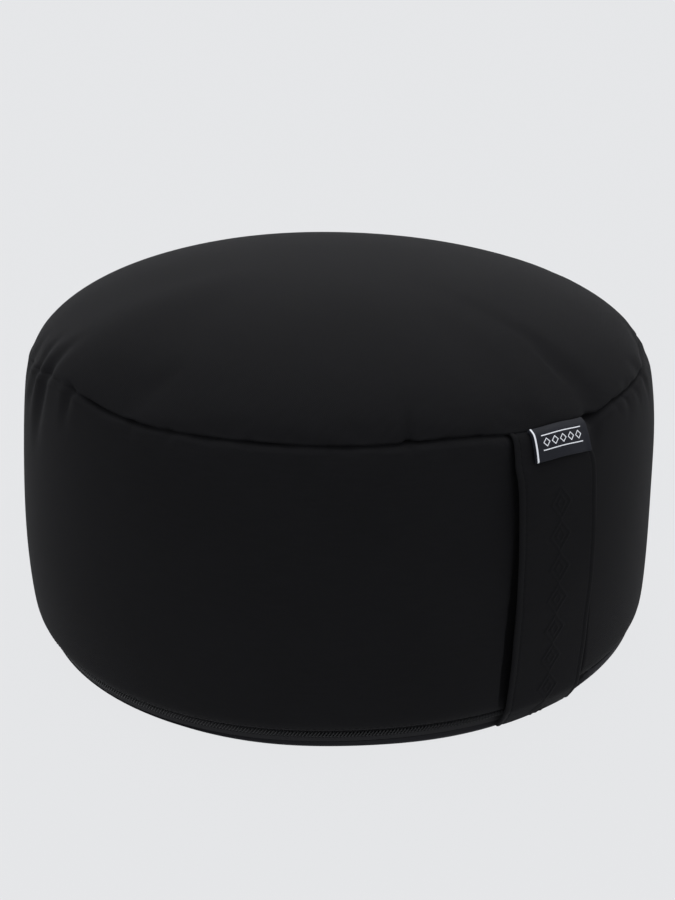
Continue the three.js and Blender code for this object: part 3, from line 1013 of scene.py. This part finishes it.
def stripRows(run, count, columns, angleOf, top, bottom, settle, edgeRound):
    # the outer face from one side to the other, a round edge, the inner face back, a round edge
    centre, normal, length = smoothRun(run, count)
    along = np.linspace(0, length, count)[:, None]
    high, low = top(columns[None, :], along), bottom(columns[None, :], along)
    middle, half = (high + low) / 2, (high - low) / 2
    turn = np.linspace(0, np.pi / 2, 4)[1:]
    rightEdge = columns[-1] + edgeRound * np.sin(turn)
    leftEdge = columns[0] - edgeRound * np.sin(turn)
    rightHalf, leftHalf = half[:, -1:] * np.cos(turn), half[:, :1] * np.cos(turn)
    outer = np.concatenate([middle[:, :1] + leftHalf[:, ::-1], high, middle[:, -1:] + rightHalf], 1)
    inner = np.concatenate([middle[:, :1] - leftHalf[:, ::-1], low, middle[:, -1:] - rightHalf], 1)
    across = np.concatenate([leftEdge[::-1], columns, rightEdge])
    # both outermost corners are shared by the two faces, so the inner one keeps only what lies between
    out = np.concatenate([outer, inner[:, ::-1][:, 1:-1]], 1)
    wide = np.broadcast_to(np.concatenate([across, across[::-1][1:-1]]), out.shape)
    radius = centre[:, :1] + normal[:, :1] * out
    height = centre[:, 1:] + normal[:, 1:] * out
    return settle(radius, height, angleOf(wide)), wide, np.broadcast_to(along, out.shape), length


def handleTop(across, along):
    half = handle["width"] / 2
    fromEdge = half - np.abs(across)
    roll = handle["edgeRoll"] * np.exp(-((fromEdge - 0.0012) / 0.0011) ** 2)
    groove = handle["stitchGroove"] * np.exp(-((fromEdge - handle["stitchInset"]) / 0.0004) ** 2)
    wave = 0.00018 * np.sin(along * 95 + across * 60) + 0.00012 * np.sin(along * 210 - across * 140)
    motif = handle["motifRelief"] * lozengeLine(across, along + 0 * across)
    return handle["thickness"] - 0.0002 + roll - groove + wave + motif


def handleBottom(across, along):
    return 0 * across + 0 * along


def makeHandle():
    columns = handleColumns()
    toAngle = lambda wide: handle["angle"] + np.degrees(wide / cover["bottomSeamRadius"])
    rows, wide, along, length = stripRows(
        handleRun, handle["stations"], columns, toAngle, handleTop, handleBottom, settleHandle, 0.0009)
    piece = closedStrip("handleStrap", rows, wide, along)
    smoothShade(piece)
    material = makeCotton("foldedCottonStrap", strapFinish)
    piece.data.materials.append(material)
    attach(piece, "root")
    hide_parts("handle_strap")
    stitches = stitchHandle(piece)
    return piece


# The label: a satin ribbon folded at its lower edge

label = {
    "angle": -88,
    "width": 0.0328,
    "layer": 0.0005,
    "fold": 0.0002,
    "lean": -0.003,
    "ribbon": 0.00042,          # the ribbon's own thickness
    "curl": 0.0009,             # its free end stands off a little
    "stations": 34,
}
labelRun = [
    {"radius": 0.1556, "height": 0.1512},
    {"radius": 0.1585, "height": 0.1496},
    {"radius": 0.1613, "height": 0.1459},
    {"radius": 0.1633, "height": 0.1426},
    {"radius": 0.1645, "height": 0.1404},
]


def settleLabel(radius, height, angle):
    rise = seamHeight(angle) - seamHeight(np.array(handle["angle"]))
    fall = labelRun[0]["height"] - labelRun[-1]["height"]
    down = (labelRun[0]["height"] - height) / fall
    aside = turnBetween(label["angle"], angle) * cover["topSeamRadius"] / radius
    curl = label["curl"] * smoothStep(0.75, 1.05, aside / 6) * np.clip(down, 0, 1)
    return around(radius + curl, label["angle"] + aside + np.degrees(label["lean"] * down / radius), height + rise)


def labelPath():
    # down the inner layer, round the fold and up the outer layer: the ribbon's middle line
    points, normal, length = smoothRun(labelRun, label["stations"])
    full = 2 * label["layer"] + label["fold"]
    inner = points + normal * label["layer"] / 2
    outer = (points + normal * (full - label["layer"] / 2))[::-1]
    along = np.array([normal[-1][1], -normal[-1][0]])
    turn = np.radians(np.linspace(0, 180, 9)[1:-1])[:, None]
    half = (full - label["layer"]) / 2
    fold = points[-1] + normal[-1] * (full / 2 - half * np.cos(turn)) + along * half * np.sin(turn)
    return np.vstack([inner, fold, outer])


def makeLabel():
    path = labelPath()
    run = [{"radius": radius, "height": height} for radius, height in path]
    columns = np.linspace(-label["width"] / 2 + 0.0002, label["width"] / 2 - 0.0002, 60)
    toAngle = lambda wide: label["angle"] + np.degrees(wide / cover["topSeamRadius"])
    thick = label["ribbon"] / 2
    rows, wide, along, length = stripRows(
        run, 150, columns, toAngle, lambda x, y: thick + 0 * x + 0 * y, lambda x, y: -thick + 0 * x + 0 * y,
        settleLabel, 0.0002)
    piece = closedStrip("wovenLabel", rows, wide, along)
    smoothShade(piece)
    piece.data.materials.append(makeSatin())
    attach(piece, "root")
    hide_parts("woven_label")
    return piece


satinFinish = {
    "dark": "#0f1117",
    "light": "#15171f",
    "white": "#d9dbe0",
    "threadSpacing": 0.00022,
    "edgeAt": -0.0154,
    "edgeHalf": 0.00045,
    "motifPitch": 0.0048,       # a row of small lozenges between two fine lines
    "motifHalf": 0.0017,
    "motifMiddle": 0.0230,      # along the ribbon, halfway down its outer face
    "motifLine": 0.00028,
    "motifEnds": (-0.0119, 0.0121),
    "ruleAway": 0.0032,
    "ruleHalf": 0.00022,
}


def ribbonMotif(tree, across, along):
    pitch, half = satinFinish["motifPitch"], satinFinish["motifHalf"]
    first, last = satinFinish["motifEnds"]
    away = mathNode(tree, "ABSOLUTE", mathNode(tree, "SUBTRACT", along, satinFinish["motifMiddle"]))
    beside = mathNode(tree, "PINGPONG", mathNode(tree, "SUBTRACT", across, first + pitch / 2), pitch / 2)
    fromTip = mathNode(tree, "ABSOLUTE", mathNode(tree, "SUBTRACT", mathNode(tree, "ADD", beside, away), half))
    lozenge = mathNode(tree, "LESS_THAN", fromTip, satinFinish["motifLine"])
    fromRule = mathNode(tree, "ABSOLUTE", mathNode(tree, "SUBTRACT", away, satinFinish["ruleAway"]))
    rule = mathNode(tree, "LESS_THAN", fromRule, satinFinish["ruleHalf"])
    drawn = mathNode(tree, "MAXIMUM", lozenge, rule)
    inside = mathNode(tree, "MULTIPLY", mathNode(tree, "GREATER_THAN", across, first),
                      mathNode(tree, "LESS_THAN", across, last))
    return mathNode(tree, "MULTIPLY", drawn, inside)


def makeSatin():
    # black-navy polyester satin ribbon: smooth long floats, so a soft gloss across the weave
    material, tree = newMaterial("polyesterSatinRibbon")
    place, across, along = clothPlace(tree)
    ribs = mathNode(tree, "SINE", mathNode(tree, "MULTIPLY", along, 2 * math.pi / satinFinish["threadSpacing"]))
    cloudy = noiseAt(tree, place, (0.006, 0.004, 1))
    ground = mixColor(tree, cloudy, linearColor(satinFinish["dark"]), linearColor(satinFinish["light"]))
    fromEdge = mathNode(tree, "ABSOLUTE", mathNode(tree, "SUBTRACT", across, satinFinish["edgeAt"]))
    edge = mathNode(tree, "LESS_THAN", fromEdge, satinFinish["edgeHalf"])
    woven = mathNode(tree, "MAXIMUM", edge, ribbonMotif(tree, across, along))
    colour = mixColor(tree, woven, ground, linearColor(satinFinish["white"]))
    bump = addNode(tree, "ShaderNodeBump", inputs={"Height": ribs, "Distance": 0.00003, "Strength": 0.4})
    shader = addNode(tree, "ShaderNodeBsdfPrincipled", inputs={
        "Base Color": colour, "Roughness": 0.5, "Specular IOR Level": 0.12, "Normal": bump.outputs[0]})
    finishMaterial(tree, shader)
    return material


# The zip: a woven tape under the lip with a closed coil along it

def channelPlace(along, out):
    # so far up the channel's floor, and so far out from it
    foot, head = bottomSeamSteps[1], bottomSeamSteps[2]
    radius, height = cover["bottomSeamRadius"], cover["bottomSeamHeight"]
    low = np.array([radius - foot["zipIn"], height - foot["zipDown"]])
    high = np.array([radius - head["zipIn"], height - head["zipDown"]])
    up = (high - low) / np.linalg.norm(high - low)
    return low[0] + up[0] * along + up[1] * out, low[1] + up[1] * along - up[0] * out


def zipLength():
    return math.radians(zipper["start"] - zipper["end"]) * cover["bottomSeamRadius"]


def makeTape():
    count = 420
    angles = np.linspace(zipper["start"], zipper["end"], count)[:, None]
    columns = np.linspace(0.0003, zipper["tapeWidth"] - 0.0003, 16)
    edge = np.array([0.0001, 0])
    across = np.concatenate([edge[::-1], columns, zipper["tapeWidth"] - edge])
    thick = np.interp(across, [0, 0.0001, 0.0004], [0.5, 0.82, 1]) * 1.0
    thick = np.minimum(thick, np.interp(zipper["tapeWidth"] - across, [0, 0.0001, 0.0004], [0.5, 0.82, 1]))
    middle = zipper["lift"] + zipper["tapeThickness"] / 2
    half = zipper["tapeThickness"] / 2 * thick
    wide = np.concatenate([across, across[::-1]])
    out = np.concatenate([middle + half, (middle - half)[::-1]])
    radius, height = channelPlace(zipper["tapeFoot"] + wide, out)
    rows = around(radius + 0 * angles, angles + 0 * radius, height + waveAt(bottomWaves, angles))
    along = np.radians(zipper["start"] - angles) * cover["bottomSeamRadius"] + 0 * wide
    piece = closedStrip("zipTape", rows, wide + 0 * angles, along)
    smoothShade(piece, 40)
    piece.data.materials.append(makeTapeCloth())
    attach(piece, "root")
    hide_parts("zip_tape")
    stitches = stitchTape(piece)
    return piece


tapeFinish = {
    "dark": "#101012",
    "light": "#1b1b1e",
    "ribSpacing": 0.0006,
}


def makeTapeCloth():
    # knitted polyester zip tape: fine slanted ribs
    material, tree = newMaterial("polyesterZipTape")
    place, across, along = clothPlace(tree)
    slanted = mathNode(tree, "MULTIPLY_ADD", across, 0.7, along)
    ribs = mathNode(tree, "SINE", mathNode(tree, "MULTIPLY", slanted, 2 * math.pi / tapeFinish["ribSpacing"]))
    share = mathNode(tree, "MULTIPLY_ADD", ribs, 0.5, 0.5)
    colour = mixColor(tree, share, linearColor(tapeFinish["dark"]), linearColor(tapeFinish["light"]))
    bump = addNode(tree, "ShaderNodeBump", inputs={"Height": ribs, "Distance": 0.0001, "Strength": 0.6})
    shader = addNode(tree, "ShaderNodeBsdfPrincipled", inputs={
        "Base Color": colour, "Roughness": 0.75, "Specular IOR Level": 0.2, "Normal": bump.outputs[0]})
    finishMaterial(tree, shader)
    return material


def oneTooth():
    # half a ring of nylon strand, standing on the tape: x across, y along the zip, z out
    span = zipper["coilWidth"] / 2 + zipper["overlap"]
    deselectAll()
    bpy.ops.mesh.primitive_torus_add(
        major_segments=14, minor_segments=6, major_radius=span / 2 - zipper["strandRadius"],
        minor_radius=zipper["strandRadius"], rotation=(math.radians(90), 0, 0))
    piece = namedPiece("toothLoop")
    applyPlace(piece)
    bpy.ops.object.mode_set(mode="EDIT")
    bpy.ops.mesh.select_all(action="SELECT")
    bpy.ops.mesh.bisect(plane_co=(0, 0, 0), plane_no=(0, 0, 1), clear_inner=True, use_fill=True)
    bpy.ops.object.mode_set(mode="OBJECT")
    points = readPoints(piece)
    points[:, 2] *= (zipper["coilHeight"] - 0.0001) / points[:, 2].max()
    faces = [list(polygon.vertices) for polygon in piece.data.polygons]
    bpy.data.objects.remove(piece)
    return points, faces


def repeated(name, points, faces, places):
    # places[i] holds one copy's points
    count = len(points)
    mesh = bpy.data.meshes.new(name)
    every = [[corner + i * count for corner in face] for i in range(len(places)) for face in faces]
    mesh.from_pydata(np.concatenate(places).tolist(), [], every)
    piece = bpy.data.objects.new(name, mesh)
    bpy.context.scene.collection.objects.link(piece)
    pointOut(piece)
    return piece


def makeCoil():
    points, faces = oneTooth()
    floor = 2 * zipper["lift"] + zipper["tapeThickness"]
    middle = zipper["coilFoot"] + zipper["coilWidth"] / 2
    span = zipper["coilWidth"] / 2 + zipper["overlap"]
    length = zipLength()
    steps = int(length / zipper["toothPitch"]) - 1
    places = []
    for tooth in range(2 * steps):
        side = 1 if tooth % 2 else -1
        centre = middle + side * (span / 2 - zipper["overlap"])
        along = (tooth / 2 + 0.75) * zipper["toothPitch"] + points[:, 1]
        along = along + zipper["slant"] * points[:, 0] / span
        radius, height = channelPlace(centre + points[:, 0], floor + points[:, 2])
        angle = zipper["start"] - np.degrees(along / cover["bottomSeamRadius"])
        places.append(around(radius, angle, height + waveAt(bottomWaves, angle)))
    piece = repeated("zipCoil", points, faces, places)
    smoothShade(piece)
    piece.data.materials.append(makeNylon())
    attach(piece, "root")
    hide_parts("zip_coil")
    return piece


nylonFinish = {
    "color": "#18191b",
    "roughness": 0.45,
}


def makeNylon():
    # drawn nylon monofilament: smooth, with a satin gloss that shows each loop
    material, tree = newMaterial("nylonMonofilament")
    place = addNode(tree, "ShaderNodeTexCoord").outputs["Object"]
    worn = noiseAt(tree, place, (0.004,) * 3)
    rough = mixNumber(tree, worn, nylonFinish["roughness"] - 0.06, nylonFinish["roughness"] + 0.1)
    shader = addNode(tree, "ShaderNodeBsdfPrincipled", inputs={
        "Base Color": linearColor(nylonFinish["color"]), "Roughness": rough, "IOR": 1.53,
        "Specular IOR Level": 0.3})
    finishMaterial(tree, shader)
    return material


makeCover()
print("stage: cover made")
makeHandle()
makeLabel()
print("stage: handle and label made")
makeTape()
makeCoil()
print("stage: zip made")
